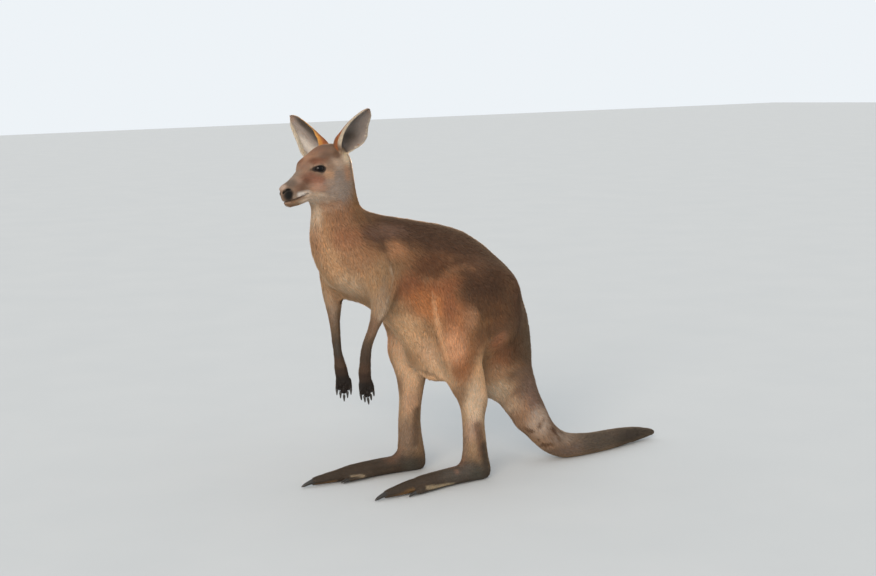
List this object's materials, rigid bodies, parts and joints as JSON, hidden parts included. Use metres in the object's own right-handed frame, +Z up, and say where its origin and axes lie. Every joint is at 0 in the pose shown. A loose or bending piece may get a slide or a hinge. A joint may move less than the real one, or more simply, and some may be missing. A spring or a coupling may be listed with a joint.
{
  "type": "eastern grey kangaroo",
  "caption": "Life-size still model of a young female grey kangaroo standing on long hind feet and the bend of its tail, arms hanging, head turned to its left, ears up.",
  "frame": {"origin": "on the ground under the centre of the bounding box", "axes": "+Z up, the animal faces -Y with its tail towards +Y, its left side is +X"},
  "size_m": [0.2894, 1.1186, 0.9312],
  "materials": {
    "coat": "short tan fur",
    "grey_coat": "short grey-brown fur",
    "pale_coat": "soft pale fawn fur",
    "dark_coat": "short dark brown fur",
    "ear_skin": "thin ear with fine hair",
    "claw": "dark horn, satin",
    "eye": "wet dark brown eye"
  },
  "bodies": {
    "root": {"head": "coat", "left_eye": "eye", "left_ear": "ear_skin", "right_eye": "eye", "right_ear": "ear_skin", "neck": "coat", "chest": "pale_coat", "hindquarters": "grey_coat", "tail_1": "coat", "tail_2": "coat", "tail_3": "coat", "tail_4": "dark_coat", "tail_5": "dark_coat", "left_thigh": "coat", "left_shank": "coat", "left_foot": "dark_coat", "left_upper_arm": "coat", "left_forearm": "dark_coat", "left_hand": "dark_coat", "left_toe_claw_1": "claw", "left_toe_claw_2": "claw", "left_toe_claw_3": "claw", "left_toe_claw_4": "claw", "left_finger_claw_1": "claw", "left_finger_claw_2": "claw", "left_finger_claw_3": "claw", "left_finger_claw_4": "claw", "left_finger_claw_5": "claw", "right_thigh": "coat", "right_shank": "coat", "right_foot": "dark_coat", "right_upper_arm": "coat", "right_forearm": "dark_coat", "right_hand": "dark_coat", "right_toe_claw_1": "claw", "right_toe_claw_2": "claw", "right_toe_claw_3": "claw", "right_toe_claw_4": "claw", "right_finger_claw_1": "claw", "right_finger_claw_2": "claw", "right_finger_claw_3": "claw", "right_finger_claw_4": "claw", "right_finger_claw_5": "claw"}
  },
  "joints": []
}
